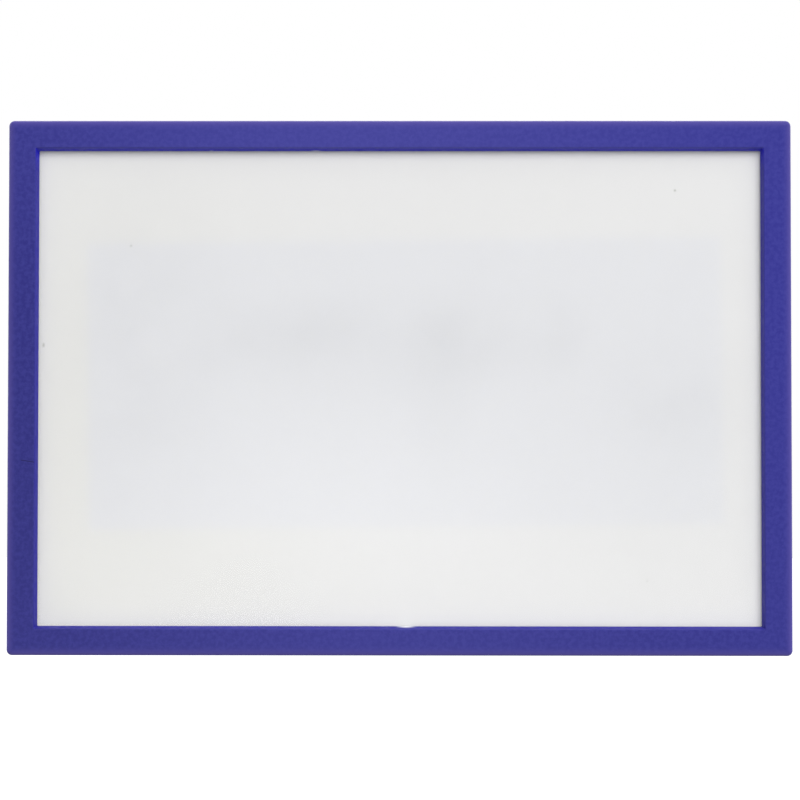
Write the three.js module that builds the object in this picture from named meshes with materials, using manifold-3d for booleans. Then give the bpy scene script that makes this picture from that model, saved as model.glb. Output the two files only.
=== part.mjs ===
// Magnetic sign holder: a moulded frame that holds a blank card behind a clear cover,
// closed at the back by a milky panel with a flexible magnet stuck on it.
// Millimetres, +Z up, X along the width. The front faces -Y.
// The origin lies on the magnet's rear face, at the middle of the frame.

import * as THREE from 'three';
import { mergeVertices } from 'three/addons/utils/BufferGeometryUtils.js';
import Module from 'manifold-3d';

// Sign card and clear cover
const CARD_WIDTH = 152.4;
const CARD_HEIGHT = 101.6;
const CARD_THICKNESS = 0.25;
const COVER_THICKNESS = 0.3;
const SHEET_CORNER_RADIUS = 1.5;
const SHEET_GAP = 0.1;
const SHEET_SIDE_CLEARANCE = 0.4;
const SHEET_FOOT_GAP = 0.1;

// Moulded frame
const LIP_THICKNESS = 1.5;
const LIP_OVERLAP = 2.3;
const WINDOW_DRAFT = 0.55;
const WINDOW_EDGE_RADIUS = 0.35;
const WINDOW_CORNER_RADIUS = 0.25;
const RAIL_WIDTH = 1.1;
const RAIL_GROOVE = 0.65;
const WALL_THICKNESS = 1.8;
const WALL_DRAFT = 0.1;
const FRONT_EDGE_RADIUS = 1;
const REAR_EDGE_RADIUS = 0.3;
const OUTER_CORNER_RADIUS = 1.15;
const REAR_SETBACK = 0.3;

// Loading slot through the top wall: its mouth is this much wider than the channel all round
const SLOT_LEAD = 0.15;

// Snap hooks behind the panel, along the top and bottom walls
const HOOKS_PER_SIDE = 4;
const HOOK_LENGTH = 9;
const HOOK_REACH = 0.9;
const HOOK_ROOT = 0.6;
const HOOK_TIP = 0.2;
const HOOK_PLAY = 0.05;

// Trimmed gate mark on the lower window edge
const GATE_OFFSET = 1.4;
const GATE_WIDTH = 3.5;
const GATE_DEPTH = 0.2;

// Back panel
const PANEL_THICKNESS = 1.2;
const PANEL_CLEARANCE = 0.3;
const PANEL_CORNER_RADIUS = 1;

// Magnet sheet and its adhesive film, set in from the panel's edges
const MAGNET_THICKNESS = 0.9;
const MAGNET_SIDE_MARGIN = 13.1;
const MAGNET_END_MARGIN = 23.3;
const MAGNET_SHIFT_X = 1.1;
const MAGNET_SHIFT_Z = 0.9;
const MAGNET_TURN_DEGREES = 0.6;
const MAGNET_CORNER_RADIUS = 0.4;
const ADHESIVE_THICKNESS = 0.15;
const ADHESIVE_INSET = 0.8;

// How finely curves are faceted, and how deep joined features sink into what carries them
const CORNER_STEPS = 6;
const EDGE_STEPS = 6;
const FINE_EDGE_STEPS = 2;
const GATE_FACETS = 96;
const SINK = 0.2;

// Depths, from the magnet's rear face forwards
const magnetFront = -MAGNET_THICKNESS;
const panelRear = magnetFront - ADHESIVE_THICKNESS;
const panelFront = panelRear - PANEL_THICKNESS;
const cardRear = panelFront - SHEET_GAP;
const cardFront = cardRear - CARD_THICKNESS;
const coverRear = cardFront - SHEET_GAP;
const coverFront = coverRear - COVER_THICKNESS;
const lipRear = coverFront - SHEET_GAP;
const frameFront = lipRear - LIP_THICKNESS;
const frameRear = -REAR_SETBACK;

// Half sizes across the frame, from the card outwards
const channelHalf = {
  x: CARD_WIDTH / 2 + SHEET_SIDE_CLEARANCE,
  z: CARD_HEIGHT / 2 + SHEET_SIDE_CLEARANCE,
};
const railToPocket = RAIL_WIDTH + RAIL_GROOVE;
const pocketHalf = { x: channelHalf.x + railToPocket, z: channelHalf.z + railToPocket };
const outerHalf = { x: pocketHalf.x + WALL_THICKNESS, z: pocketHalf.z + WALL_THICKNESS };
const lipWidth = WALL_THICKNESS + railToPocket + SHEET_SIDE_CLEARANCE + LIP_OVERLAP;
const windowSill = -(outerHalf.z - lipWidth);
const panelWidth = 2 * (pocketHalf.x - PANEL_CLEARANCE);
const panelHeight = 2 * (pocketHalf.z - PANEL_CLEARANCE);

const wasm = await Module();
wasm.setup();

// A closed three.js geometry as a solid that can be joined and cut
function toSolid(geometry) {
  const bare = geometry.clone();
  bare.deleteAttribute('normal');
  bare.deleteAttribute('uv');
  const merged = mergeVertices(bare, 1e-5);
  return new wasm.Manifold(new wasm.Mesh({
    numProp: 3,
    vertProperties: new Float32Array(merged.attributes.position.array),
    triVerts: new Uint32Array(merged.index.array),
  }));
}

// The finished solid as a three.js geometry
function toGeometry(solid) {
  const { vertProperties, triVerts } = solid.getMesh();
  const geometry = new THREE.BufferGeometry();
  geometry.setAttribute('position', new THREE.BufferAttribute(new Float32Array(vertProperties), 3));
  geometry.setIndex(new THREE.BufferAttribute(new Uint32Array(triVerts), 1));
  geometry.computeVertexNormals();
  return geometry;
}

// Points of an arc as [inset, depth] pairs
function arc(inset, depth, radius, from, to, steps) {
  return Array.from({ length: steps + 1 }, (_, i) => {
    const angle = from + ((to - from) * i) / steps;
    return [inset + radius * Math.cos(angle), depth + radius * Math.sin(angle)];
  });
}

// The frame's cross-section, as insets from the outer outline and depths.
// It runs up the outer wall, over the front face, down the window bevel and back through the pocket.
function frameSection() {
  const quarter = Math.PI / 2;
  const bevelTilt = Math.atan2(WINDOW_DRAFT, LIP_THICKNESS);
  const windowEdge = lipWidth - WINDOW_DRAFT;
  const edgeTangent = WINDOW_EDGE_RADIUS * Math.tan((quarter - bevelTilt) / 2);
  return [
    ...arc(REAR_EDGE_RADIUS, frameRear - REAR_EDGE_RADIUS, REAR_EDGE_RADIUS, quarter, 2 * quarter,
      FINE_EDGE_STEPS),
    ...arc(WALL_DRAFT + FRONT_EDGE_RADIUS, frameFront + FRONT_EDGE_RADIUS, FRONT_EDGE_RADIUS,
      2 * quarter, 3 * quarter, EDGE_STEPS),
    ...arc(windowEdge - edgeTangent, frameFront + WINDOW_EDGE_RADIUS, WINDOW_EDGE_RADIUS,
      3 * quarter, 4 * quarter - bevelTilt, FINE_EDGE_STEPS),
    [lipWidth, lipRear],
    [WALL_THICKNESS, lipRear],
    [WALL_THICKNESS, frameRear],
  ];
}

// Points round a rounded rectangle that lies inset inside the frame's outer outline
function outlineAt(inset) {
  const radius = Math.max(OUTER_CORNER_RADIUS - inset, WINDOW_CORNER_RADIUS);
  const centreX = outerHalf.x - inset - radius;
  const centreZ = outerHalf.z - inset - radius;
  const points = [];
  for (let corner = 0; corner < 4; corner += 1) {
    const signX = corner === 0 || corner === 3 ? 1 : -1;
    const signZ = corner < 2 ? 1 : -1;
    for (let step = 0; step <= CORNER_STEPS; step += 1) {
      const angle = (corner + step / CORNER_STEPS) * (Math.PI / 2);
      points.push([signX * centreX + radius * Math.cos(angle), signZ * centreZ + radius * Math.sin(angle)]);
    }
  }
  return points;
}

// A closed ring: the section carried once round the frame's outline
function ringGeometry(section) {
  const positions = [];
  const triangles = [];
  const stations = 4 * (CORNER_STEPS + 1);
  for (const [inset, depth] of section) {
    for (const [x, z] of outlineAt(inset)) {
      positions.push(x, depth, z);
    }
  }
  section.forEach((_, row) => {
    const nextRow = (row + 1) % section.length;
    for (let station = 0; station < stations; station += 1) {
      const nextStation = (station + 1) % stations;
      const a = row * stations + station;
      const b = row * stations + nextStation;
      const c = nextRow * stations + nextStation;
      const d = nextRow * stations + station;
      triangles.push(a, b, c, a, c, d);
    }
  });
  const geometry = new THREE.BufferGeometry();
  geometry.setAttribute('position', new THREE.Float32BufferAttribute(positions, 3));
  geometry.setIndex(triangles);
  return geometry;
}

// A shape drawn on the front plane, X across and Z up, made thick between two depths
function slab(shape, front, rear) {
  const geometry = new THREE.ExtrudeGeometry(shape, {
    depth: rear - front,
    bevelEnabled: false,
    curveSegments: CORNER_STEPS,
  });
  geometry.rotateX(Math.PI / 2);
  geometry.translate(0, rear, 0);
  return geometry;
}

function roundedRectangle(width, height, radius) {
  const x = width / 2 - radius;
  const z = height / 2 - radius;
  const shape = new THREE.Shape();
  shape.absarc(x, z, radius, 0, Math.PI / 2);
  shape.absarc(-x, z, radius, Math.PI / 2, Math.PI);
  shape.absarc(-x, -z, radius, Math.PI, 1.5 * Math.PI);
  shape.absarc(x, -z, radius, 1.5 * Math.PI, 2 * Math.PI);
  return shape;
}

// The rail that guides the card at its two sides and foot, and that the panel seats on
function railSolid() {
  const outer = { x: channelHalf.x + RAIL_WIDTH, z: channelHalf.z + RAIL_WIDTH };
  const top = pocketHalf.z + SINK;
  const shape = new THREE.Shape([
    new THREE.Vector2(-outer.x, top),
    new THREE.Vector2(-outer.x, -outer.z),
    new THREE.Vector2(outer.x, -outer.z),
    new THREE.Vector2(outer.x, top),
    new THREE.Vector2(channelHalf.x, top),
    new THREE.Vector2(channelHalf.x, -channelHalf.z),
    new THREE.Vector2(-channelHalf.x, -channelHalf.z),
    new THREE.Vector2(-channelHalf.x, top),
  ]);
  return toSolid(slab(shape, lipRear - SINK, panelFront));
}

// One snap hook on the top wall (side 1) or the bottom wall (side -1):
// a flat catch behind the panel, with a sloped lead-in towards the rear
function hookSolid(x, side) {
  const catchDepth = panelRear + HOOK_PLAY;
  const root = side * (pocketHalf.z + SINK);
  const wall = side * pocketHalf.z;
  const tip = side * (pocketHalf.z - HOOK_REACH);
  const shape = new THREE.Shape([
    new THREE.Vector2(root, catchDepth),
    new THREE.Vector2(tip, catchDepth),
    new THREE.Vector2(tip, catchDepth + HOOK_TIP),
    new THREE.Vector2(wall, catchDepth + HOOK_ROOT),
    new THREE.Vector2(root, catchDepth + HOOK_ROOT),
  ]);
  const geometry = new THREE.ExtrudeGeometry(shape, { depth: HOOK_LENGTH, bevelEnabled: false });
  geometry.rotateY(-Math.PI / 2);
  geometry.translate(x + HOOK_LENGTH / 2, 0, 0);
  return toSolid(geometry);
}

// The space of the loading slot, from inside the pocket to above the top wall
function slotSolid() {
  const width = 2 * (channelHalf.x + SLOT_LEAD);
  const front = lipRear - SLOT_LEAD;
  const rear = panelFront + SLOT_LEAD;
  const bottom = pocketHalf.z - SINK;
  const top = outerHalf.z + SINK;
  const geometry = new THREE.BoxGeometry(width, rear - front, top - bottom);
  geometry.translate(0, (front + rear) / 2, (bottom + top) / 2);
  return toSolid(geometry);
}

// The round cutter that trimmed the gate, laid along the sloped lower wall of the window
function gateSolid() {
  const radius = GATE_WIDTH ** 2 / (8 * GATE_DEPTH) + GATE_DEPTH / 2;
  const tilt = Math.atan2(WINDOW_DRAFT, LIP_THICKNESS);
  const length = Math.hypot(WINDOW_DRAFT, LIP_THICKNESS) + 2 * SINK;
  const lift = (radius - GATE_DEPTH) / Math.cos(tilt);
  const geometry = new THREE.CylinderGeometry(radius, radius, length, GATE_FACETS);
  geometry.rotateX(tilt);
  geometry.translate(GATE_OFFSET, (frameFront + lipRear) / 2, windowSill - WINDOW_DRAFT / 2 + lift);
  return toSolid(geometry);
}

function frameGeometry() {
  let solid = toSolid(ringGeometry(frameSection())).add(railSolid());
  const pitch = (2 * pocketHalf.x) / HOOKS_PER_SIDE;
  for (let hook = 0; hook < HOOKS_PER_SIDE; hook += 1) {
    const x = (hook + 0.5) * pitch - pocketHalf.x;
    solid = solid.add(hookSolid(x, 1)).add(hookSolid(x, -1));
  }
  return toGeometry(solid.subtract(slotSolid()).subtract(gateSolid()));
}

function sheetGeometry(front, rear) {
  const geometry = slab(roundedRectangle(CARD_WIDTH, CARD_HEIGHT, SHEET_CORNER_RADIUS), front, rear);
  return geometry.translate(0, 0, CARD_HEIGHT / 2 - channelHalf.z + SHEET_FOOT_GAP);
}

function panelGeometry() {
  return slab(roundedRectangle(panelWidth, panelHeight, PANEL_CORNER_RADIUS), panelFront, panelRear);
}

// The magnet, or with an inset the film that sticks it on
function magnetGeometry(inset, front, rear) {
  const width = panelWidth - 2 * (MAGNET_SIDE_MARGIN + inset);
  const height = panelHeight - 2 * (MAGNET_END_MARGIN + inset);
  return slab(roundedRectangle(width, height, MAGNET_CORNER_RADIUS), front, rear);
}

function piece(name, geometry, look) {
  const mesh = new THREE.Mesh(geometry, new THREE.MeshStandardMaterial(look));
  mesh.name = name;
  return mesh;
}

const bluePlastic = { color: 0x424194, roughness: 0.55, metalness: 0 };
const clearPlastic = { color: 0xffffff, roughness: 0.25, metalness: 0, transparent: true, opacity: 0.15 };
const whiteCard = { color: 0xe6e6e6, roughness: 0.6, metalness: 0 };
const milkyPlastic = { color: 0xeceded, roughness: 0.5, metalness: 0 };
const acrylicFilm = { color: 0xd8d6cc, roughness: 0.4, metalness: 0 };
const ferriteRubber = { color: 0x35302c, roughness: 0.8, metalness: 0 };

// The magnet and its film, laid by hand: a little off centre and a little turned
const magnetPad = new THREE.Group();
magnetPad.position.set(MAGNET_SHIFT_X, 0, MAGNET_SHIFT_Z);
magnetPad.rotation.y = -THREE.MathUtils.degToRad(MAGNET_TURN_DEGREES);
magnetPad.add(
  piece('magnet_adhesive', magnetGeometry(ADHESIVE_INSET, panelRear, magnetFront), acrylicFilm),
  piece('magnet_sheet', magnetGeometry(0, magnetFront, 0), ferriteRubber),
);

const signHolder = new THREE.Group();
signHolder.add(
  piece('front_frame', frameGeometry(), bluePlastic),
  piece('clear_cover', sheetGeometry(coverFront, coverRear), clearPlastic),
  piece('sign_card', sheetGeometry(cardFront, cardRear), whiteCard),
  piece('back_panel', panelGeometry(), milkyPlastic),
  magnetPad,
);

export default signHolder;
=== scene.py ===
# Magnetic sign holder: a moulded blue frame, a blank card behind a clear cover, and a magnet on the back.
# Metres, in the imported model's own frame: X along the width, +Z up, and the front faces -Y.

import math

import bmesh
import bpy
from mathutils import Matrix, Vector


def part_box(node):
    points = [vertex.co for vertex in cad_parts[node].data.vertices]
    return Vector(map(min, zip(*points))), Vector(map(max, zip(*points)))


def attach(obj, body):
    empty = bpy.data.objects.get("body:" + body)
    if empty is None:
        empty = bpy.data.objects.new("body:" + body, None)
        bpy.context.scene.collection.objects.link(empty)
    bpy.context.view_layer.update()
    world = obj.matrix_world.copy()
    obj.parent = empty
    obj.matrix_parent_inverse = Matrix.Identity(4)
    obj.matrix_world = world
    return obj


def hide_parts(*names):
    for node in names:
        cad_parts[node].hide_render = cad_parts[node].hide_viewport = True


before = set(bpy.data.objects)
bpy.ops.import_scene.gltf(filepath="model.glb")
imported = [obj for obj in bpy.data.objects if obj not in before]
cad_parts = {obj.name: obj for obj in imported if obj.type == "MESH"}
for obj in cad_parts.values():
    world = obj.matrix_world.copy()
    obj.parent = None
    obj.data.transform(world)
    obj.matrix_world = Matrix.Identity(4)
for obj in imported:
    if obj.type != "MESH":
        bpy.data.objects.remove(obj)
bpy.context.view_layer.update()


# Front frame: one injection moulding in matte blue plastic, with a bevelled window and a wall at the back.
# It is lofted through rounded outlines and its edges are filleted. The rail that guides the sheets,
# the snap hooks, the loading slot and the trimmed gate mark are then joined to it or cut out of it.
MM = 0.001
WALL = 1.8 * MM
WALL_DRAFT = 0.1 * MM
LIP_OVERLAP = 2.3 * MM
WINDOW_DRAFT = 0.55 * MM
SHEET_GAP = 0.1 * MM
SIDE_CLEARANCE = 0.4 * MM
RAIL_WIDTH = 1.1 * MM
OUTER_CORNER = 1.15 * MM
INNER_CORNER = 0.25 * MM
EDGE_WIDTH = 2.2 * MM
EDGE_DEPTH = 1.0 * MM
EDGE_FULLNESS = 2.9
EDGE_STEPS = 12
LOWER_LIP_DROP = 0.20 * MM
REAR_FILLET = 0.3 * MM
WINDOW_FILLET = 0.25 * MM
FINE_EDGE = 0.05 * MM
SINK = 0.2 * MM
CORNER_SEGMENTS = 10
HAIR = 0.005 * MM

frame_low, frame_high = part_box("front_frame")
cover_low, cover_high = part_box("clear_cover")
card_low, card_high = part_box("sign_card")
panel_low, panel_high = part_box("back_panel")
front = frame_low.y
rear = frame_high.y
lip_rear = cover_low.y - SHEET_GAP
outer = Vector((frame_high.x, 0, frame_high.z))
pocket = outer - Vector((WALL, 0, WALL))
card_half = Vector((card_high.x - card_low.x, 0, card_high.z - card_low.z)) / 2
channel = card_half + Vector((SIDE_CLEARANCE, 0, SIDE_CLEARANCE))
window = card_half - Vector((LIP_OVERLAP, 0, LIP_OVERLAP))


def open_block(name, low, high):
    """A block between two corners, alone in its mesh and open for editing."""
    bpy.ops.object.select_all(action="DESELECT")
    bpy.ops.mesh.primitive_cube_add(size=1, location=(low + high) / 2, scale=high - low)
    bpy.ops.object.transform_apply(location=True, rotation=True, scale=True)
    block = bpy.context.object
    block.name = block.data.name = name
    bpy.ops.object.mode_set(mode="EDIT")
    bpy.ops.mesh.select_all(action="DESELECT")
    return block


def choose_edges(piece, wanted):
    """Select just the edges whose two ends pass the test."""
    bpy.ops.mesh.select_mode(type="EDGE")
    bpy.ops.mesh.select_all(action="DESELECT")
    mesh = bmesh.from_edit_mesh(piece.data)
    for edge in mesh.edges:
        edge.select_set(wanted(edge.verts[0].co, edge.verts[1].co))
    bmesh.update_edit_mesh(piece.data)


def choose_faces(piece, wanted):
    """Select just the faces whose normal passes the test."""
    bpy.ops.mesh.select_mode(type="FACE")
    bpy.ops.mesh.select_all(action="DESELECT")
    mesh = bmesh.from_edit_mesh(piece.data)
    for face in mesh.faces:
        face.select_set(wanted(face.normal))
    bmesh.update_edit_mesh(piece.data)


def round_edges(radius, segments):
    """Bevel the selected edges to a round that starts that far from each edge."""
    bpy.ops.mesh.bevel(offset=radius, segments=segments, affect="EDGES", clamp_overlap=False)


def close_piece(piece, smooth_angle=35):
    """Leave edit mode with the normals outwards, smooth but for real corners."""
    bpy.ops.mesh.select_all(action="SELECT")
    bpy.ops.mesh.normals_make_consistent(inside=False)
    bpy.ops.object.mode_set(mode="OBJECT")
    bpy.ops.object.select_all(action="DESELECT")
    piece.select_set(True)
    bpy.context.view_layer.objects.active = piece
    bpy.ops.object.shade_smooth_by_angle(angle=math.radians(smooth_angle))


def apply_modifier(piece, kind, **settings):
    """Add one modifier to a piece and apply it."""
    bpy.context.view_layer.objects.active = piece
    modifier = piece.modifiers.new(kind.lower(), kind)
    for name, value in settings.items():
        setattr(modifier, name, value)
    bpy.ops.object.modifier_apply(modifier=modifier.name)


def shape_with(piece, tool, operation):
    """Join a tool to a piece or cut the piece with it, and throw the tool away."""
    apply_modifier(piece, "BOOLEAN", object=tool, operation=operation, solver="EXACT")
    bpy.data.objects.remove(tool)


def add_outline(half, depth, radius):
    """Add a rounded rectangle of bare edges to the piece that is open for editing."""
    bpy.ops.mesh.select_all(action="DESELECT")
    bpy.ops.mesh.primitive_plane_add(size=2, location=(0, depth, 0), rotation=(math.pi / 2, 0, 0))
    bpy.ops.transform.resize(value=(half.x, 1, half.z), center_override=(0, depth, 0))
    bpy.ops.mesh.bevel(offset=radius, segments=CORNER_SEGMENTS, affect="VERTICES", clamp_overlap=False)
    bpy.ops.mesh.delete(type="ONLY_FACE")


def on_outline(half, depth):
    """A test for edges that lie on the outline of that half size at that depth."""
    def lies_on(point):
        reach = max(abs(point.x) - half.x, abs(point.z) - half.z)
        return abs(point.y - depth) < HAIR and -OUTER_CORNER / 2 < reach < HAIR
    return lambda a, b: lies_on(a) and lies_on(b)


def edge_outline(step):
    """The outer outline at one step round the soft front edge, from the wall to the front face."""
    turn = math.pi / 2 * step / EDGE_STEPS
    setback = EDGE_WIDTH * (1 - math.cos(turn) ** (2 / EDGE_FULLNESS))
    depth = front + EDGE_DEPTH * (1 - math.sin(turn) ** (2 / EDGE_FULLNESS))
    inset = Vector((WALL_DRAFT + setback, 0, WALL_DRAFT + setback))
    return outer - inset, depth, max(OUTER_CORNER - setback, FINE_EDGE)


bevel = Vector((WINDOW_DRAFT, 0, WINDOW_DRAFT))
wall_foot = (outer, rear, OUTER_CORNER)
window_edge = (window + bevel, front, INNER_CORNER)
lip_edge = (window, lip_rear, INNER_CORNER)
pocket_floor = (pocket, lip_rear, INNER_CORNER)
pocket_mouth = (pocket, rear, INNER_CORNER)
front_edge = [edge_outline(step) for step in range(EDGE_STEPS + 1)]
outlines = [wall_foot, *front_edge, window_edge, lip_edge, pocket_floor, pocket_mouth]

bpy.ops.object.select_all(action="DESELECT")
bpy.ops.mesh.primitive_plane_add()
moulding = bpy.context.object
moulding.name = moulding.data.name = "frame_moulding"
bpy.ops.object.mode_set(mode="EDIT")
bpy.ops.mesh.delete(type="VERT")
for half, depth, radius in outlines:
    add_outline(half, depth, radius)
for here, following in zip(outlines, outlines[1:] + outlines[:1]):
    on_here = on_outline(here[0], here[1])
    on_following = on_outline(following[0], following[1])
    choose_edges(moulding, lambda a, b: on_here(a, b) or on_following(a, b))
    bpy.ops.mesh.bridge_edge_loops()
bpy.ops.mesh.select_all(action="SELECT")
bpy.ops.mesh.normals_make_consistent(inside=False)
for outline, radius, segments in (
        (wall_foot, REAR_FILLET, 5),
        (window_edge, WINDOW_FILLET, 6),
        (lip_edge, FINE_EDGE, 2),
        (pocket_mouth, 2 * FINE_EDGE, 2)):
    choose_edges(moulding, on_outline(outline[0], outline[1]))
    round_edges(radius, segments)

# The lower lip is moulded a little narrower than the other three.
choose_edges(moulding, lambda a, b: max(abs(a.z + window.z), abs(b.z + window.z)) < 2 * WINDOW_DRAFT)
bpy.ops.transform.translate(value=(0, 0, -LOWER_LIP_DROP))
bpy.ops.object.mode_set(mode="OBJECT")

# The rail is drawn as a flat U, leg by leg, and then made thick towards the front.
rail_top = pocket.z + SINK
rail_back = panel_low.y
bpy.ops.object.select_all(action="DESELECT")
bpy.ops.mesh.primitive_plane_add(
    size=RAIL_WIDTH, rotation=(math.pi / 2, 0, 0),
    location=(-channel.x - RAIL_WIDTH / 2, rail_back, -channel.z - RAIL_WIDTH / 2))
bpy.ops.object.transform_apply(location=True, rotation=True, scale=True)
rail = bpy.context.object
bpy.ops.object.mode_set(mode="EDIT")
choose_edges(rail, lambda a, b: min(a.x, b.x) > -channel.x - HAIR)
bpy.ops.mesh.extrude_edges_move(TRANSFORM_OT_translate={"value": (2 * channel.x, 0, 0)})
bpy.ops.mesh.extrude_edges_move(TRANSFORM_OT_translate={"value": (RAIL_WIDTH, 0, 0)})
choose_edges(rail, lambda a, b: min(a.z, b.z) > -channel.z - HAIR and abs(a.x - b.x) < 2 * RAIL_WIDTH)
bpy.ops.mesh.extrude_edges_move(TRANSFORM_OT_translate={"value": (0, 0, rail_top + channel.z)})
bpy.ops.object.mode_set(mode="OBJECT")
apply_modifier(rail, "SOLIDIFY", thickness=rail_back - lip_rear + SINK, offset=-1)
bpy.ops.object.mode_set(mode="EDIT")
choose_edges(rail, lambda a, b: min(a.y, b.y) > rail_back - HAIR and (a - b).length > 2 * RAIL_WIDTH)
round_edges(2 * FINE_EDGE, 2)
close_piece(rail)
shape_with(moulding, rail, "UNION")

# One snap hook is a block with its tip thinned. It is repeated along the top and mirrored below.
HOOKS_PER_SIDE = 4
HOOK_LENGTH = 9 * MM
HOOK_REACH = 0.9 * MM
HOOK_ROOT = 0.6 * MM
HOOK_TIP = 0.2 * MM
HOOK_PLAY = 0.05 * MM

hook_pitch = 2 * pocket.x / HOOKS_PER_SIDE
catch = panel_high.y + HOOK_PLAY
hook_x = hook_pitch / 2 - pocket.x
hook = open_block("snap_hook",
                  Vector((hook_x - HOOK_LENGTH / 2, catch, pocket.z - HOOK_REACH)),
                  Vector((hook_x + HOOK_LENGTH / 2, catch + HOOK_ROOT, pocket.z + SINK)))
choose_edges(hook, lambda a, b: max(a.z, b.z) < pocket.z and min(a.y, b.y) > catch + HAIR)
bpy.ops.transform.translate(value=(0, HOOK_TIP - HOOK_ROOT, 0))
choose_edges(hook, lambda a, b: max(a.z, b.z) < pocket.z or min(a.y, b.y) > catch + HAIR)
round_edges(FINE_EDGE, 2)
close_piece(hook)
apply_modifier(hook, "ARRAY", count=HOOKS_PER_SIDE, use_relative_offset=False,
               use_constant_offset=True, constant_offset_displace=(hook_pitch, 0, 0))
apply_modifier(hook, "MIRROR", use_axis=(False, False, True), use_mirror_merge=False)
bpy.ops.object.mode_set(mode="EDIT")
close_piece(hook)
shape_with(moulding, hook, "UNION")

# The loading slot goes through the top wall, with a chamfered mouth that guides the sheets in.
SLOT_LEAD = 0.15 * MM
SLOT_CHAMFER = 0.25 * MM

slot_low = Vector((-channel.x - SLOT_LEAD, lip_rear - SLOT_LEAD, pocket.z - SINK))
slot_high = Vector((channel.x + SLOT_LEAD, panel_low.y + SLOT_LEAD, outer.z - SLOT_CHAMFER))
slot_middle = (slot_low + slot_high) / 2
slot_size = slot_high - slot_low
slot = open_block("loading_slot", slot_low, slot_high)
choose_faces(slot, lambda normal: normal.z > 0.5)
bpy.ops.mesh.extrude_region_move(TRANSFORM_OT_translate={"value": (0, 0, 2 * SLOT_CHAMFER)})
bpy.ops.transform.resize(
    value=(1 + 4 * SLOT_CHAMFER / slot_size.x, 1 + 4 * SLOT_CHAMFER / slot_size.y, 1),
    center_override=(slot_middle.x, slot_middle.y, slot_high.z))
close_piece(slot)
shape_with(moulding, slot, "DIFFERENCE")

# The gate was trimmed by a round cutter, which left a shallow hollow in the window's sloped lower wall.
GATE_X = 1.4 * MM
GATE_WIDTH = 3.5 * MM
GATE_DEPTH = 0.2 * MM
GATE_SEGMENTS = 192

gate_radius = GATE_WIDTH ** 2 / (8 * GATE_DEPTH) + GATE_DEPTH / 2
slope = math.atan2(WINDOW_DRAFT, lip_rear - front)
sill = -window.z - LOWER_LIP_DROP - WINDOW_DRAFT / 2
bpy.ops.object.select_all(action="DESELECT")
bpy.ops.mesh.primitive_cylinder_add(
    vertices=GATE_SEGMENTS, radius=gate_radius, depth=math.hypot(WINDOW_DRAFT, lip_rear - front) + 2 * SINK,
    location=(GATE_X, (front + lip_rear) / 2, sill + (gate_radius - GATE_DEPTH) / math.cos(slope)),
    rotation=(math.pi / 2 + slope, 0, 0))
bpy.ops.object.transform_apply(location=True, rotation=True, scale=True)
shape_with(moulding, bpy.context.object, "DIFFERENCE")

bpy.ops.object.mode_set(mode="EDIT")
bpy.ops.mesh.select_all(action="SELECT")
bpy.ops.mesh.remove_doubles(threshold=HAIR / 5)
close_piece(moulding)
apply_modifier(moulding, "WEIGHTED_NORMAL", keep_sharp=True)


def add_node(tree, kind, inputs=None, **settings):
    """One shader node, with its settings, and its inputs as values or as other nodes' outputs."""
    node = tree.nodes.new("ShaderNode" + kind)
    for name, value in settings.items():
        setattr(node, name, value)
    for name, value in (inputs or {}).items():
        if isinstance(value, bpy.types.NodeSocket):
            tree.links.new(value, node.inputs[name])
        else:
            node.inputs[name].default_value = value
    return node


def calculate(tree, operation, first, second=0.0):
    """The result of one Math node."""
    return add_node(tree, "Math", {0: first, 1: second}, operation=operation).outputs[0]


def stretch_range(tree, value, low, high, to_low=0.0, to_high=1.0):
    """A value carried smoothly from one range to another, and held at its ends."""
    return add_node(tree, "MapRange", {
        "Value": value, "From Min": low, "From Max": high, "To Min": to_low, "To Max": to_high},
        interpolation_type="SMOOTHSTEP").outputs[0]


def blend_colours(tree, share, first, second):
    """A colour between two, by a share from 0 to 1."""
    mix = add_node(tree, "Mix", {"Factor": share, "A": first, "B": second}, data_type="RGBA")
    return mix.outputs["Result"]


def new_material(name):
    """An empty node material."""
    material = bpy.data.materials.new(name)
    material.use_nodes = True
    material.node_tree.nodes.clear()
    return material, material.node_tree


def new_group(name, inputs, outputs):
    """A shader node group with its own sockets."""
    group = bpy.data.node_groups.new(name, "ShaderNodeTree")
    for kind, title, value in inputs:
        socket = group.interface.new_socket(title, in_out="INPUT", socket_type=kind)
        socket.default_value = value
    for title in outputs:
        group.interface.new_socket(title, in_out="OUTPUT", socket_type="NodeSocketFloat")
    return group, group.nodes.new("NodeGroupInput"), group.nodes.new("NodeGroupOutput")


def place_group(tree, group, inputs):
    """One use of a node group in a material, as a dictionary of its outputs."""
    return add_node(tree, "Group", inputs, node_tree=group).outputs


# A mark with soft edges: a box at a place, turned in the front plane, as a mask from 0 to 1.
soft_mark, given, result = new_group(
    "soft_mark",
    [("NodeSocketVector", "Centre", (0, 0, 0)), ("NodeSocketVector", "Half Size", (1, 1, 1)),
     ("NodeSocketFloat", "Turn", 0.0), ("NodeSocketFloat", "Softness", 0.1)],
    ["Mask"])
place = add_node(soft_mark, "TexCoord").outputs["Object"]
offset = add_node(soft_mark, "VectorMath", {0: place, 1: given.outputs["Centre"]}, operation="SUBTRACT")
turned = add_node(soft_mark, "VectorRotate", {"Vector": offset.outputs[0], "Angle": given.outputs["Turn"]},
                  rotation_type="Y_AXIS")
reach = add_node(soft_mark, "VectorMath", {0: turned.outputs[0]}, operation="ABSOLUTE")
beyond = add_node(soft_mark, "VectorMath", {0: reach.outputs[0], 1: given.outputs["Half Size"]},
                  operation="SUBTRACT")
parts = add_node(soft_mark, "SeparateXYZ", {0: beyond.outputs[0]}).outputs
furthest = calculate(soft_mark, "MAXIMUM", calculate(soft_mark, "MAXIMUM", parts[0], parts[1]), parts[2])
half_soft = calculate(soft_mark, "MULTIPLY", given.outputs["Softness"], 0.5)
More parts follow.
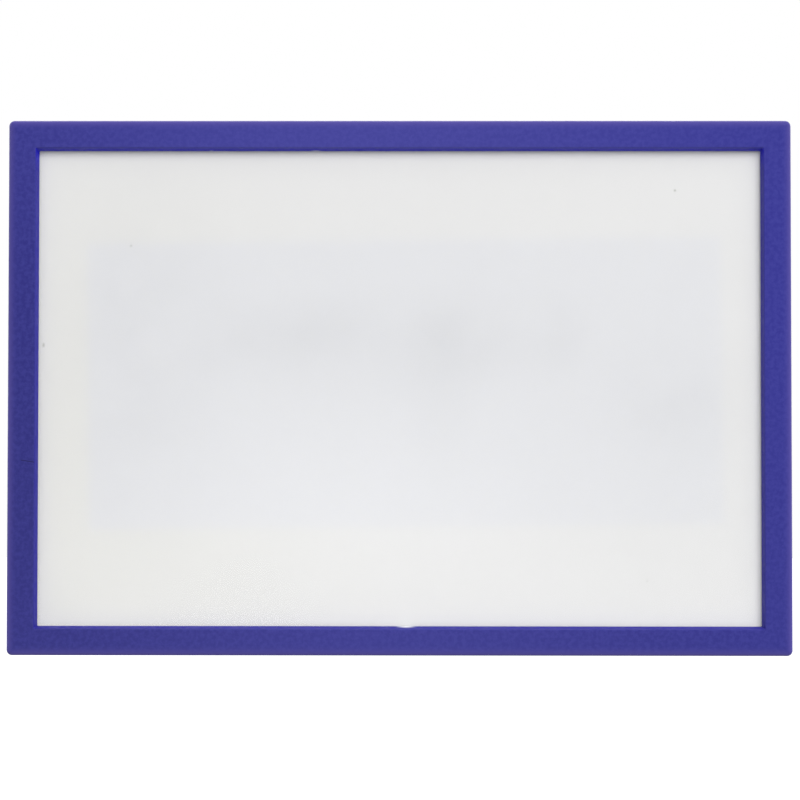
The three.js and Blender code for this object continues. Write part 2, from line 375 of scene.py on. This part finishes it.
within = calculate(soft_mark, "MULTIPLY", half_soft, -1.0)
inside = stretch_range(soft_mark, furthest, within, half_soft, 1.0, 0.0)
soft_mark.links.new(inside, result.inputs["Mask"])

# A spot that fades out from its middle, as a mask from 1 to 0.
soft_spot, given, result = new_group(
    "soft_spot",
    [("NodeSocketVector", "Centre", (0, 0, 0)), ("NodeSocketVector", "Radii", (1, 1, 1))],
    ["Mask"])
place = add_node(soft_spot, "TexCoord").outputs["Object"]
offset = add_node(soft_spot, "VectorMath", {0: place, 1: given.outputs["Centre"]}, operation="SUBTRACT")
scaled = add_node(soft_spot, "VectorMath", {0: offset.outputs[0], 1: given.outputs["Radii"]},
                  operation="DIVIDE")
away = add_node(soft_spot, "VectorMath", {0: scaled.outputs[0]}, operation="LENGTH")
faded = stretch_range(soft_spot, away.outputs["Value"], 0.0, 1.0, 1.0, 0.0)
soft_spot.links.new(faded, result.inputs["Mask"])

# A moulded surface's grain: a cloudiness of the colour, and fine bumps.
grain, given, result = new_group(
    "surface_grain",
    [("NodeSocketFloat", "Cloud Scale", 100.0), ("NodeSocketFloat", "Bump Scale", 3000.0)],
    ["Cloud", "Height"])
place = add_node(grain, "TexCoord").outputs["Object"]
for title, scale, detail in (("Cloud", "Cloud Scale", 5.0), ("Height", "Bump Scale", 3.0)):
    noise = add_node(grain, "TexNoise", {
        "Vector": place, "Scale": given.outputs[scale], "Detail": detail, "Roughness": 0.6})
    grain.links.new(noise.outputs[0], result.inputs[title])

# The plastic is mottled, and whitened where it was cut. It also carries painted light: paler to the upper
# right, deeper to the lower left, a painted sheen in the middle of the long sides, a painted highlight
# along the outer edge, a painted lit bevel with painted shade on its top side, and a painted glint at the
# gate.
BLUE_SHADED_LOWER_LEFT = (0.0138, 0.0134, 0.174, 1)
BLUE_LIT_UPPER_RIGHT = (0.0224, 0.0224, 0.257, 1)
BLUE_PAINTED_SHEEN = (0.0413, 0.0402, 0.289, 1)
BLUE_CLOUDED = (0.160, 0.155, 0.640, 1)
BLUE_BEVEL_LIT = (0.0140, 0.0105, 0.280, 1)
BLUE_TOP_BEVEL_SHADED = (0.0060, 0.0040, 0.420, 1)
BLUE_EDGE_HIGHLIGHT = (0.0720, 0.0570, 0.300, 1)
KNIT_LINE = (0.004, 0.004, 0.070, 1)
STRESSED = (0.95, 0.955, 0.98, 1)
PAINTED_LIGHT_TOWARDS = Vector((5.2, 0, 6.0))
EDGE_HIGHLIGHT_WIDTH = 3.1 * MM
MOTTLING = 0.10
SHEEN_X = -8 * MM
SHEEN_INSET = 2.5 * MM
SHEEN_HEIGHT = 40 * MM
SHEEN_ABOVE = (1, 105 * MM, 1.0)
SHEEN_BELOW = (-1, 95 * MM, 0.55)
KNIT_PLACE = Vector((-75.8 * MM, front, -15.1 * MM))
KNIT_HALF_SIZE = Vector((1.35 * MM, EDGE_DEPTH, 0.09 * MM))
KNIT_TURN = math.radians(-8.7)
KNIT_SOFTNESS = 0.12 * MM
WHITENED_DEPTH = lip_rear - 0.1 * MM
GATE_WHITENING_AND_GLINT = (GATE_X, sill + 0.1 * MM, Vector((2.6, 0.9, 0.8)), 1.0)
SMALL_NICK = (-38.6 * MM, window.z, Vector((0.6, 0.5, 0.4)), 0.3)
LONG_NICK = (-17.2 * MM, window.z, Vector((1.5, 0.4, 0.4)), 0.5)

blue, tree = new_material("blue_plastic")
mottle = place_group(tree, grain, {"Cloud Scale": 1100.0, "Bump Scale": 5200.0})
place = add_node(tree, "TexCoord").outputs["Object"]
# Painted light: the blue is paler towards the upper right and deeper towards the lower left.
painted_light_fade = add_node(tree, "VectorMath", {0: place, 1: PAINTED_LIGHT_TOWARDS}, operation="DOT_PRODUCT").outputs["Value"]
share = calculate(tree, "ADD", painted_light_fade, 0.5)
tone = blend_colours(tree, share, BLUE_SHADED_LOWER_LEFT, BLUE_LIT_UPPER_RIGHT)
# Painted sheen: paler spots in the middle of the top and bottom sides.
for side, reach, strength in (SHEEN_ABOVE, SHEEN_BELOW):
    sheen_spot = place_group(tree, soft_spot, {
        "Centre": Vector((SHEEN_X, front, side * (outer.z - SHEEN_INSET))),
        "Radii": Vector((reach, 1.0, SHEEN_HEIGHT))})
    tone = blend_colours(tree, calculate(tree, "MULTIPLY", sheen_spot["Mask"], strength), tone, BLUE_PAINTED_SHEEN)
cloud = stretch_range(tree, mottle["Cloud"], 0.36, 0.66, 0.0, MOTTLING)
tone = blend_colours(tree, cloud, tone, BLUE_CLOUDED)
# Painted highlight: a paler band along the rounded outer edge.
flat_front = place_group(tree, soft_mark, {
    "Half Size": outer - Vector((EDGE_HIGHLIGHT_WIDTH / 2, -1.0, EDGE_HIGHLIGHT_WIDTH / 2)), "Softness": EDGE_HIGHLIGHT_WIDTH})
edge_highlight = calculate(tree, "POWER", calculate(tree, "SUBTRACT", 1.0, flat_front["Mask"]), 3.0)
tone = blend_colours(tree, edge_highlight, tone, BLUE_EDGE_HIGHLIGHT)
# Painted light on the window's bevel: a brighter blue all round, with painted shade on the top bevel.
bevel_band = place_group(tree, soft_mark, {
    "Centre": Vector((0, front, -LOWER_LIP_DROP / 2)),
    "Half Size": Vector((window.x + WINDOW_DRAFT, 1.0, window.z + WINDOW_DRAFT)),
    "Softness": WINDOW_FILLET})
height = add_node(tree, "SeparateXYZ", {0: place}).outputs["Z"]
top_bevel_share = stretch_range(tree, height, 0.9 * window.z, window.z)
bevel_lit_and_shaded = blend_colours(tree, top_bevel_share, BLUE_BEVEL_LIT, BLUE_TOP_BEVEL_SHADED)
tone = blend_colours(tree, bevel_band["Mask"], tone, bevel_lit_and_shaded)
knit = place_group(tree, soft_mark, {
    "Centre": KNIT_PLACE, "Half Size": KNIT_HALF_SIZE, "Turn": KNIT_TURN, "Softness": KNIT_SOFTNESS})
tone = blend_colours(tree, knit["Mask"], tone, KNIT_LINE)
# The gate hollow's near white is partly stress whitening and partly a painted glint.
for x, z, radii, strength in (GATE_WHITENING_AND_GLINT, SMALL_NICK, LONG_NICK):
    whitened = place_group(tree, soft_spot, {
        "Centre": Vector((x, WHITENED_DEPTH, z)), "Radii": radii * MM})
    tone = blend_colours(tree, calculate(tree, "MULTIPLY", whitened["Mask"], strength), tone, STRESSED)
roughness = stretch_range(tree, mottle["Cloud"], 0.3, 0.7, 0.44, 0.56)
bump = add_node(tree, "Bump", {"Height": mottle["Height"], "Strength": 0.3, "Distance": 0.03 * MM})
skin = add_node(tree, "BsdfPrincipled", {
    "Base Color": tone, "Roughness": roughness, "Normal": bump.outputs[0],
    "IOR": 1.49, "Specular IOR Level": 0.4})
add_node(tree, "OutputMaterial", {"Surface": skin.outputs[0]})
moulding.data.materials.append(blue)
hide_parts("front_frame")
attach(moulding, "holder")


# Clear cover: a die-cut sheet of clear plastic with a satin face, slid in behind the window's lip.
# Its corners are rounded, and its cut edges are a little frosted, so they catch the light.
SHEET_CORNER = 1.5 * MM
COVER_IOR = 1.5
COVER_ROUGHNESS = 0.16
CUT_EDGE_DEEP = (0.66, 0.74, 0.78, 1)
CUT_EDGE_PALE = (0.82, 0.88, 0.90, 1)


def cut_sheet(name, low, high, corner, edge):
    """A flat sheet between two corners, with rounded corners and softened edges."""
    sheet = open_block(name, low, high)
    choose_edges(sheet, lambda a, b: abs(a.y - b.y) > HAIR)
    round_edges(corner, CORNER_SEGMENTS)
    choose_edges(sheet, lambda a, b: abs(a.y - b.y) < HAIR / 10)
    round_edges(edge, 2)
    close_piece(sheet)
    apply_modifier(sheet, "WEIGHTED_NORMAL", keep_sharp=True)
    return sheet


cover = cut_sheet("cover_sheet", cover_low, cover_high, SHEET_CORNER, FINE_EDGE)
clear, tree = new_material("clear_plastic")
outside = calculate(tree, "SUBTRACT", 1.0, add_node(tree, "NewGeometry").outputs["Backfacing"])
mirror = calculate(tree, "MULTIPLY", add_node(tree, "Fresnel", {"IOR": COVER_IOR}).outputs[0], outside)
see = add_node(tree, "BsdfTransparent", {"Color": (0.998, 0.998, 0.998, 1)})
gloss = add_node(tree, "BsdfGlossy", {"Color": (1, 1, 1, 1), "Roughness": COVER_ROUGHNESS})
film = add_node(tree, "MixShader", {0: mirror, 1: see.outputs[0], 2: gloss.outputs[0]})
add_node(tree, "OutputMaterial", {"Surface": film.outputs[0]})
cover.data.materials.append(clear)

frosted, tree = new_material("clear_cut_edge")
cut = place_group(tree, grain, {"Cloud Scale": 1500.0, "Bump Scale": 6000.0})
tone = blend_colours(tree, cut["Cloud"], CUT_EDGE_DEEP, CUT_EDGE_PALE)
skin = add_node(tree, "BsdfPrincipled", {"Base Color": tone, "Roughness": 0.35, "Alpha": 0.6})
add_node(tree, "OutputMaterial", {"Surface": skin.outputs[0]})
cover.data.materials.append(frosted)
bpy.ops.object.mode_set(mode="EDIT")
choose_faces(cover, lambda normal: abs(normal.y) < 0.9)
cover.active_material_index = 1
bpy.ops.object.material_slot_assign()
bpy.ops.object.mode_set(mode="OBJECT")
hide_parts("clear_cover")
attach(cover, "cover")


# Sign card: a blank insert of thin white film, a little see-through, cut to 6 by 4 in.
# It stands on the frame's rail, behind the cover. It is greyed a little in soft patches,
# and has a few specks. Patches and specks are given as x, z, half width and half height in mm, and
# strength.
CARD_WHITE = (0.965, 0.965, 0.964, 1)
CARD_CLOUDED = (0.952, 0.952, 0.951, 1)
CARD_GREYED = (0.885, 0.888, 0.893, 1)
DUST = (0.40, 0.42, 0.37, 1)
CARD_COVERS = 0.70
GREY_PATCHES = [
    (-2.5, 8.6, 50.0, 15.0, 0.45),
    (-35.0, 10.6, 12.0, 10.0, 0.35),
    (-19.0, 11.3, 14.0, 10.0, 0.35),
    (11.8, 10.6, 17.0, 12.0, 0.5),
    (32.0, 10.6, 11.0, 12.0, 0.35),
    (9.0, -4.0, 9.0, 20.0, 0.25),
    (-54.0, 8.0, 25.0, 58.0, 0.42),
    (-74.0, -46.0, 18.0, 13.0, 0.4),
    (56.0, -2.0, 22.0, 20.0, 0.4),
]
SPECKS = [
    (-73.0, 8.7, 0.45, 0.75, 0.55),
    (56.5, 40.5, 0.45, 0.45, 0.6),
    (-55.1, 29.1, 0.4, 0.4, 0.45),
    (50.6, -39.5, 0.4, 0.4, 0.45),
]

card = cut_sheet("card_sheet", card_low, card_high, SHEET_CORNER, FINE_EDGE)
white, tree = new_material("white_card")
paper = place_group(tree, grain, {"Cloud Scale": 90.0, "Bump Scale": 2500.0})
smear = place_group(tree, grain, {"Cloud Scale": 400.0})
blotch = calculate(tree, "MULTIPLY", stretch_range(tree, paper["Cloud"], 0.25, 0.6),
                   stretch_range(tree, smear["Cloud"], 0.3, 0.7, 0.65, 1.35))
tone = blend_colours(tree, paper["Cloud"], CARD_CLOUDED, CARD_WHITE)
for x, z, half_width, half_height, strength in GREY_PATCHES:
    grey_patch = place_group(tree, soft_spot, {
        "Centre": Vector((x * MM, card_low.y, z * MM)),
        "Radii": Vector((half_width * MM, 1.0, half_height * MM))})
    patch = calculate(tree, "MULTIPLY", grey_patch["Mask"], blotch)
    tone = blend_colours(tree, calculate(tree, "MULTIPLY", patch, strength), tone, CARD_GREYED)
for x, z, half_width, half_height, strength in SPECKS:
    speck = place_group(tree, soft_spot, {
        "Centre": Vector((x * MM, card_low.y, z * MM)),
        "Radii": Vector((half_width * MM, 1.0, half_height * MM))})
    tone = blend_colours(tree, calculate(tree, "MULTIPLY", speck["Mask"], strength), tone, DUST)
bump = add_node(tree, "Bump", {"Height": paper["Height"], "Strength": 0.08, "Distance": 0.02 * MM})
skin = add_node(tree, "BsdfPrincipled", {
    "Base Color": tone, "Roughness": 0.55, "Normal": bump.outputs[0],
    "Alpha": CARD_COVERS, "Specular IOR Level": 0.3})
add_node(tree, "OutputMaterial", {"Surface": skin.outputs[0]})
card.data.materials.append(white)
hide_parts("sign_card")
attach(card, "card")


# Back panel: a die-cut sheet of milky plastic, snapped in behind the rail to close the card channel.
# Where the dark magnet lies behind it, a cool field with soft edges is painted on as painted shade, and the
# left end has yellowed.
PANEL_CORNER = 1.0 * MM
MAGNET_CORNER = 0.4 * MM
MAGNET_TURN = math.radians(0.6)
PANEL_WARM = (0.92, 0.92, 0.915, 1)
PANEL_YELLOWED = (0.885, 0.880, 0.700, 1)
PANEL_PAINTED_SHADE = (0.69, 0.75, 0.910, 1)
PAINTED_SHADE_SOFTNESS = 0.3 * MM
YELLOWED_PLACE = Vector((-80 * MM, panel_low.y, -18 * MM))
YELLOWED_RADII = Vector((90 * MM, 1.0, 100 * MM))

magnet_low, magnet_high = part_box("magnet_sheet")
magnet_middle = (magnet_low + magnet_high) / 2
spread = (magnet_high - magnet_low) - Vector((2 * MAGNET_CORNER, 0, 2 * MAGNET_CORNER))
cos = math.cos(MAGNET_TURN)
sin = math.sin(MAGNET_TURN)
magnet_width = (spread.x * cos - spread.z * sin) / math.cos(2 * MAGNET_TURN) + 2 * MAGNET_CORNER
magnet_height = (spread.z * cos - spread.x * sin) / math.cos(2 * MAGNET_TURN) + 2 * MAGNET_CORNER

panel = cut_sheet("panel_sheet", panel_low, panel_high, PANEL_CORNER, 2 * FINE_EDGE)
milky, tree = new_material("milky_plastic")
haze = place_group(tree, grain, {"Cloud Scale": 90.0, "Bump Scale": 1800.0})
# Painted shade: a cool field where the magnet lies behind the panel.
painted_magnet_shade = place_group(tree, soft_mark, {
    "Centre": magnet_middle, "Half Size": Vector((magnet_width / 2, 1.0, magnet_height / 2)),
    "Turn": MAGNET_TURN, "Softness": PAINTED_SHADE_SOFTNESS})
yellowed = place_group(tree, soft_spot, {"Centre": YELLOWED_PLACE, "Radii": YELLOWED_RADII})
plain = blend_colours(tree, yellowed["Mask"], PANEL_WARM, PANEL_YELLOWED)
tone = blend_colours(tree, painted_magnet_shade["Mask"], plain, PANEL_PAINTED_SHADE)
bump = add_node(tree, "Bump", {"Height": haze["Height"], "Strength": 0.1, "Distance": 0.03 * MM})
skin = add_node(tree, "BsdfPrincipled", {
    "Base Color": tone, "Roughness": 0.45, "Normal": bump.outputs[0], "Specular IOR Level": 0.4})
add_node(tree, "OutputMaterial", {"Surface": skin.outputs[0]})
panel.data.materials.append(milky)
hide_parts("back_panel")
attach(panel, "holder")


# Magnet and its adhesive film: a strip of ferrite-filled rubber, calendered flat and cut to length,
# stuck to the panel by hand with a thin acrylic film, a little off centre and a little turned.
def laid_sheet(name, node, width, height, corner, edge):
    """A cut sheet of that size at a node's depth, laid where the magnet lies and turned with it."""
    low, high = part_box(node)
    half = Vector((width / 2, (high.y - low.y) / 2, height / 2))
    sheet = cut_sheet(name, -half, half, corner, edge)
    sheet.location = (low + high) / 2
    sheet.rotation_euler = (0, -MAGNET_TURN, 0)
    bpy.ops.object.transform_apply(location=True, rotation=True, scale=True)
    return sheet


RUBBER_DEEP = (0.018, 0.015, 0.013, 1)
RUBBER_DUSTY = (0.060, 0.053, 0.047, 1)
STREAK_SCALE = Vector((25, 400, 900))

magnet = laid_sheet("magnet_strip", "magnet_sheet", magnet_width, magnet_height,
                    MAGNET_CORNER, 2 * FINE_EDGE)
ferrite, tree = new_material("ferrite_rubber")
rubber = place_group(tree, grain, {"Cloud Scale": 120.0, "Bump Scale": 3500.0})
place = add_node(tree, "TexCoord").outputs["Object"]
along = add_node(tree, "Mapping", {"Vector": place, "Scale": STREAK_SCALE, "Rotation": (0, MAGNET_TURN, 0)})
streaks = add_node(tree, "TexNoise", {"Vector": along.outputs[0], "Scale": 1.0, "Detail": 4.0})
share = calculate(tree, "MULTIPLY", rubber["Cloud"], streaks.outputs[0])
tone = blend_colours(tree, stretch_range(tree, share, 0.12, 0.42), RUBBER_DEEP, RUBBER_DUSTY)
relief = calculate(tree, "ADD", rubber["Height"], streaks.outputs[0])
bump = add_node(tree, "Bump", {"Height": relief, "Strength": 0.35, "Distance": 0.04 * MM})
roughness = stretch_range(tree, streaks.outputs[0], 0.3, 0.7, 0.58, 0.78)
skin = add_node(tree, "BsdfPrincipled", {
    "Base Color": tone, "Roughness": roughness, "Normal": bump.outputs[0]})
add_node(tree, "OutputMaterial", {"Surface": skin.outputs[0]})
magnet.data.materials.append(ferrite)
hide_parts("magnet_sheet")
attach(magnet, "holder")

ADHESIVE_INSET = 0.8 * MM
FILM_DEEP = (0.60, 0.57, 0.50, 1)
FILM_PALE = (0.72, 0.70, 0.63, 1)

adhesive = laid_sheet("adhesive_film", "magnet_adhesive", magnet_width - 2 * ADHESIVE_INSET,
                      magnet_height - 2 * ADHESIVE_INSET, MAGNET_CORNER, FINE_EDGE / 2)
acrylic, tree = new_material("adhesive_film")
tack = place_group(tree, grain, {"Cloud Scale": 300.0, "Bump Scale": 2000.0})
tone = blend_colours(tree, tack["Cloud"], FILM_DEEP, FILM_PALE)
bump = add_node(tree, "Bump", {"Height": tack["Height"], "Strength": 0.2, "Distance": 0.02 * MM})
skin = add_node(tree, "BsdfPrincipled", {"Base Color": tone, "Roughness": 0.4, "Normal": bump.outputs[0]})
add_node(tree, "OutputMaterial", {"Surface": skin.outputs[0]})
adhesive.data.materials.append(acrylic)
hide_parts("magnet_adhesive")
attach(adhesive, "holder")


# Studio: a pale floor well below the holder, which hangs by its magnet, and a white light tent around it.
# The camera and clear plastic see plain white, and reflections see the tent: dimmer towards its open front,
# with a bright patch low in front that glows softly in the cover.
FLOOR_DROP = 0.25
FLOOR_SIZE = 12
FLOOR_TONE = 0.35
FLOOR_IN_GLOSS = 1.2
FLOOR_NEAR = 0.25
FLOOR_FAR = 0.9
FLOOR_NEAR_GLOW = 0.55
AMBIENT = 0.575
AMBIENT_LEAN = Vector((0.25, 0, 0.6))
TENT_OPENING = 0.30
TENT_RISE = 1.5
KEY_POWER = 33.4
KEY_PLACE = Vector((0.9, -1.8, 1.2))
KEY_WIDTH = 1.5
KEY_HEIGHT = 1.2
LOW_GLOW = 4.6
LOW_TOWARDS = Vector((-0.026, -1.0, -0.039))
LOW_SPREAD = Vector((0.16, 1.0, 0.07))


def seen_plainly(tree):
    """1 for rays from the camera or through clear plastic, and 0 for the rest."""
    path = add_node(tree, "LightPath").outputs
    return calculate(tree, "MAXIMUM", path["Is Camera Ray"], path["Is Transmission Ray"])


def seen_in_gloss(tree):
    """1 for reflected rays, and 0 for the rest."""
    return add_node(tree, "LightPath").outputs["Is Glossy Ray"]


# Light crosses the four faces of the cover and the card on its way in and again on its way out,
# and is scattered to and fro between the card and the panel.
MOST_CROSSINGS = 24
MOST_SCATTERINGS = 16
bpy.context.scene.cycles.transparent_max_bounces = MOST_CROSSINGS
bpy.context.scene.cycles.diffuse_bounces = MOST_SCATTERINGS
bpy.context.scene.cycles.max_bounces = MOST_CROSSINGS

surround = bpy.data.worlds.new("light_tent")
bpy.context.scene.world = surround
surround.use_nodes = True
tree = surround.node_tree
tree.nodes.clear()
direction = add_node(tree, "TexCoord").outputs["Generated"]
ahead = add_node(tree, "VectorMath", {0: direction, 1: (0, -1, 0)}, operation="DOT_PRODUCT")
aside = calculate(tree, "SUBTRACT", 1.0, ahead.outputs["Value"])
tent = calculate(tree, "ADD", calculate(tree, "MULTIPLY", aside, TENT_RISE), TENT_OPENING)
off_patch = add_node(tree, "VectorMath", {0: direction, 1: LOW_TOWARDS}, operation="SUBTRACT")
scaled = add_node(tree, "VectorMath", {0: off_patch.outputs[0], 1: LOW_SPREAD}, operation="DIVIDE")
away = add_node(tree, "VectorMath", {0: scaled.outputs[0]}, operation="LENGTH")
patch = stretch_range(tree, away.outputs["Value"], 0.0, 1.0, LOW_GLOW, 0.0)
tent = calculate(tree, "ADD", patch, tent)
lean = add_node(tree, "VectorMath", {0: direction, 1: AMBIENT_LEAN * AMBIENT}, operation="DOT_PRODUCT")
ambient = calculate(tree, "ADD", lean.outputs["Value"], AMBIENT)
light = add_node(tree, "Background", {"Color": (1, 1, 1, 1), "Strength": ambient})
mirrored = add_node(tree, "Background", {"Color": (1, 1, 1, 1), "Strength": tent})
backdrop = add_node(tree, "Background", {"Color": (1, 1, 1, 1), "Strength": 1.0})
either = add_node(tree, "MixShader", {0: seen_in_gloss(tree), 1: light.outputs[0], 2: mirrored.outputs[0]})
whole = add_node(tree, "MixShader", {0: seen_plainly(tree), 1: either.outputs[0], 2: backdrop.outputs[0]})
add_node(tree, "OutputWorld", {"Surface": whole.outputs[0]})

bpy.ops.object.select_all(action="DESELECT")
bpy.ops.mesh.primitive_plane_add(size=FLOOR_SIZE, location=(0, 0, frame_low.z - FLOOR_DROP))
floor = bpy.context.object
floor.name = "pale_floor"
pale, tree = new_material("pale_floor")
place = add_node(tree, "TexCoord").outputs["Object"]
away = add_node(tree, "VectorMath", {0: place}, operation="LENGTH")
glow = stretch_range(tree, away.outputs["Value"], FLOOR_NEAR, FLOOR_FAR, FLOOR_NEAR_GLOW, 1.0)
mirrored = calculate(tree, "MULTIPLY", seen_in_gloss(tree), FLOOR_IN_GLOSS)
seen = calculate(tree, "MAXIMUM", seen_plainly(tree), mirrored)
matt = add_node(tree, "BsdfDiffuse", {"Color": (FLOOR_TONE, FLOOR_TONE, FLOOR_TONE, 1)})
white_seen = add_node(tree, "Emission", {
    "Color": (1, 1, 1, 1), "Strength": calculate(tree, "MULTIPLY", glow, seen)})
both = add_node(tree, "AddShader", {0: matt.outputs[0], 1: white_seen.outputs[0]})
add_node(tree, "OutputMaterial", {"Surface": both.outputs[0]})
floor.data.materials.append(pale)

# The key light is a large softbox, high in front and to the right, out of sight and out of reflections.
softbox = bpy.data.lights.new("key_softbox", "AREA")
softbox.shape = "RECTANGLE"
softbox.size = KEY_WIDTH
softbox.size_y = KEY_HEIGHT
softbox.energy = KEY_POWER
lamp = bpy.data.objects.new("key_softbox", softbox)
bpy.context.scene.collection.objects.link(lamp)
lamp.location = KEY_PLACE
lamp.rotation_euler = (-KEY_PLACE).to_track_quat("-Z", "Y").to_euler()
lamp.visible_camera = False
lamp.visible_glossy = False


# Camera: square on to the window, a touch below the middle and to the right, as in the photograph.
# It looks up a little, so the frame narrows slightly towards the top.
CAMERA_DISTANCE = 0.45
CAMERA_DROP = math.radians(1.52)
CAMERA_SWING = math.radians(0.3)
VIEW_WIDTH = 163.1 * MM
AIM = Vector((0.13 * MM, front, -2.59 * MM))
CAMERA_ROLL = math.radians(0.04)
SENSOR = 36.0

lens = bpy.data.cameras.new("photo_camera")
lens.sensor_width = SENSOR
lens.lens = SENSOR * CAMERA_DISTANCE / VIEW_WIDTH
lens.clip_start = 0.01
camera = bpy.data.objects.new("photo_camera", lens)
bpy.context.scene.collection.objects.link(camera)
camera.location = AIM + CAMERA_DISTANCE * Vector((
    math.sin(CAMERA_SWING) * math.cos(CAMERA_DROP),
    -math.cos(CAMERA_SWING) * math.cos(CAMERA_DROP),
    -math.sin(CAMERA_DROP)))
camera.rotation_euler = (AIM - camera.location).to_track_quat("-Z", "Y").to_euler()
camera.rotation_euler.rotate_axis("Z", CAMERA_ROLL)
bpy.context.scene.camera = camera
bpy.context.scene.view_settings.view_transform = "Standard"
